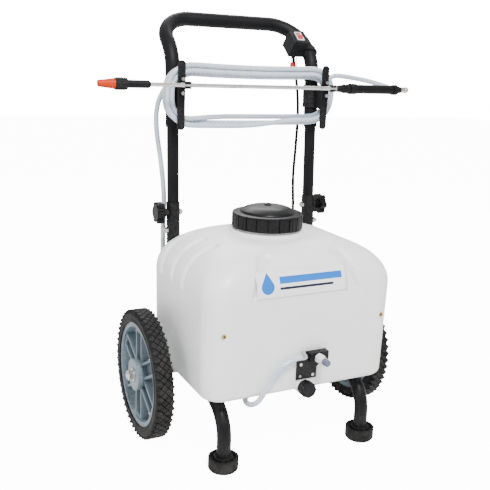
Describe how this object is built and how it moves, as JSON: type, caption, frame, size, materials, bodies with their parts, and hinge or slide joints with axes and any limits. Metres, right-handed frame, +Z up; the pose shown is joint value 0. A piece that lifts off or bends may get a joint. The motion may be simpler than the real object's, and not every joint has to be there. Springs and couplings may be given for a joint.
{
  "type": "wheeled sprayer cart",
  "caption": "Wheeled battery sprayer cart: white tank on a bent tube frame with telescopic push handle, hose hooks, coiled hose and clipped spray lance.",
  "frame": {"origin": "on the floor, on the middle plane, under the axis of the filler lid", "axes": "+Z up, -Y towards the front face of the tank, +X towards the lance handle's end"},
  "size_m": [0.812, 0.517, 0.984],
  "materials": {
    "black_paint": "satin black powder coat",
    "handle_paint": "satin black powder coat",
    "zinc": "bright zinc plating",
    "axle_steel": "drawn steel",
    "foot_rubber": "moulded rubber",
    "wheel_plastic": "slate grey moulded plastic",
    "tyre_rubber": "block tread tyre",
    "bush_nylon": "natural nylon",
    "tank_plastic": "milky blow-moulded polyethylene",
    "brass": "machined brass",
    "black_plastic": "textured black nylon",
    "lid_plastic": "moulded black plastic",
    "seal_rubber": "rubber",
    "strainer_plastic": "white moulded basket",
    "grip_foam": "smooth foam sleeve",
    "knob_plastic": "star knob with steel stud",
    "lance_steel": "polished stainless tube",
    "lance_plastic": "textured black plastic",
    "nozzle_orange": "orange moulded plastic",
    "elbow_chrome": "plated brass",
    "hose_pvc": "clear braided hose",
    "cable_jacket": "black jacket",
    "battery_case": "battery case",
    "tray_paint": "black paint",
    "strap_web": "woven strap",
    "pump_plastic": "pump head",
    "motor_steel": "motor can",
    "bezel_white": "white plastic",
    "fitting_white": "white acetal",
    "dial_plastic": "dark grey blue plastic",
    "clamp_steel": "stainless band"
  },
  "bodies": {
    "cart": {"side_rail_left": "black_paint", "side_rail_right": "black_paint", "cross_members": "black_paint", "rubber_feet": "foot_rubber", "welded_bosses": "black_paint", "frame_bolts": "zinc", "axle": "axle_steel", "axle_fittings": "zinc", "tank": "tank_plastic", "boom_inserts": "brass", "battery": "battery_case", "battery_tray": "tray_paint", "battery_strap": "strap_web", "cable_plug": "black_plastic", "pump_bracket": "tray_paint", "pump_head": "pump_plastic", "pump_motor": "motor_steel", "regulator_plate": "black_paint", "plate_screws": "zinc", "pressure_valve": "black_plastic", "gauge_fitting": "fitting_white", "hose_clamps": "clamp_steel", "front_hose": "hose_pvc", "hose_riser": "hose_pvc", "power_cable": "cable_jacket"},
    "left_wheel": {"wheel_left": "wheel_plastic", "tyre_left": "tyre_rubber", "wheel_bush_left": "bush_nylon"},
    "right_wheel": {"wheel_right": "wheel_plastic", "tyre_right": "tyre_rubber", "wheel_bush_right": "bush_nylon"},
    "filler_strainer": {"strainer": "strainer_plastic", "lid_gasket": "seal_rubber"},
    "filler_lid": {"lid": "lid_plastic"},
    "handle": {"handle_tube": "handle_paint", "grip": "grip_foam", "hose_hook_left": "black_plastic", "hose_hook_right": "black_plastic", "lance_clips": "black_plastic", "hook_screws": "zinc", "switch_box": "black_plastic", "switch_bezel": "bezel_white", "switch_clip": "black_plastic", "cable_ties": "black_plastic", "hose_coil": "hose_pvc", "hose_tail": "hose_pvc"},
    "rocker": {"switch_rocker": "bezel_white"},
    "left_knob": {"knob_left": "knob_plastic"},
    "right_knob": {"knob_right": "knob_plastic"},
    "lance": {"lance_tube": "lance_steel", "lance_collar": "lance_plastic", "lance_grip": "lance_plastic", "trigger_pin": "zinc", "lance_elbow": "elbow_chrome"},
    "trigger_lever": {"trigger": "lance_plastic"},
    "nozzle": {"nozzle_nut": "lance_plastic", "nozzle_tip": "nozzle_orange"},
    "drain_closure": {"drain_cap": "black_plastic", "drain_gasket": "seal_rubber"},
    "pressure_dial": {"regulator_knob": "dial_plastic"}
  },
  "joints": [
    {"name": "left_wheel_spin", "type": "hinge", "parent": "cart", "child": "left_wheel", "pos_m": [-0.29, 0.0388, 0.1524], "axis": [1, 0, 0], "continuous": true},
    {"name": "right_wheel_spin", "type": "hinge", "parent": "cart", "child": "right_wheel", "pos_m": [0.29, 0.0388, 0.1524], "axis": [1, 0, 0], "continuous": true},
    {"name": "lid_lift", "type": "slide", "parent": "cart", "child": "filler_strainer", "axis": [0, 0, 1], "range_m": [0, 0.09]},
    {"name": "lid_turn", "type": "hinge", "parent": "filler_strainer", "child": "filler_lid", "pos_m": [0, 0, 0.52], "axis": [0, 0, 1], "range_deg": [0, 450]},
    {"name": "handle_slide", "type": "slide", "parent": "cart", "child": "handle", "axis": [0, 0.0549, 0.9985], "range_m": [-0.15, 0], "deforming": ["hose_riser", "power_cable"]},
    {"name": "rocker_tip", "type": "hinge", "parent": "handle", "child": "rocker", "pos_m": [0.149, 0.15443, 0.93267], "axis": [1, 0, 0], "range_deg": [-10, 10]},
    {"name": "left_knob_turn", "type": "hinge", "parent": "cart", "child": "left_knob", "pos_m": [-0.225, 0.12598, 0.516], "axis": [-1, 0, 0], "range_deg": [0, 720]},
    {"name": "right_knob_turn", "type": "hinge", "parent": "cart", "child": "right_knob", "pos_m": [0.225, 0.12598, 0.516], "axis": [1, 0, 0], "range_deg": [0, 720]},
    {"name": "lance_unclip", "type": "slide", "parent": "handle", "child": "lance", "axis": [0, -1, 0], "range_m": [0, 0.12], "deforming": ["hose_tail"]},
    {"name": "trigger_squeeze", "type": "hinge", "parent": "lance", "child": "trigger_lever", "pos_m": [0.246, 0.0635, 0.817], "axis": [0, 0, -1], "range_deg": [0, 5], "stiffness_Nm_per_rad": 0.6, "springref_deg": -2.86},
    {"name": "nozzle_turn", "type": "hinge", "parent": "lance", "child": "nozzle", "pos_m": [-0.345, 0.045, 0.817], "axis": [-1, 0, 0], "range_deg": [0, 540]},
    {"name": "drain_cap_turn", "type": "hinge", "parent": "cart", "child": "drain_closure", "pos_m": [0, -0.215, 0.174], "axis": [0, -1, 0], "range_deg": [0, 720]},
    {"name": "pressure_dial_turn", "type": "hinge", "parent": "cart", "child": "pressure_dial", "pos_m": [0.025, -0.25, 0.245], "axis": [0, -1, 0], "range_deg": [0, 270]}
  ]
}
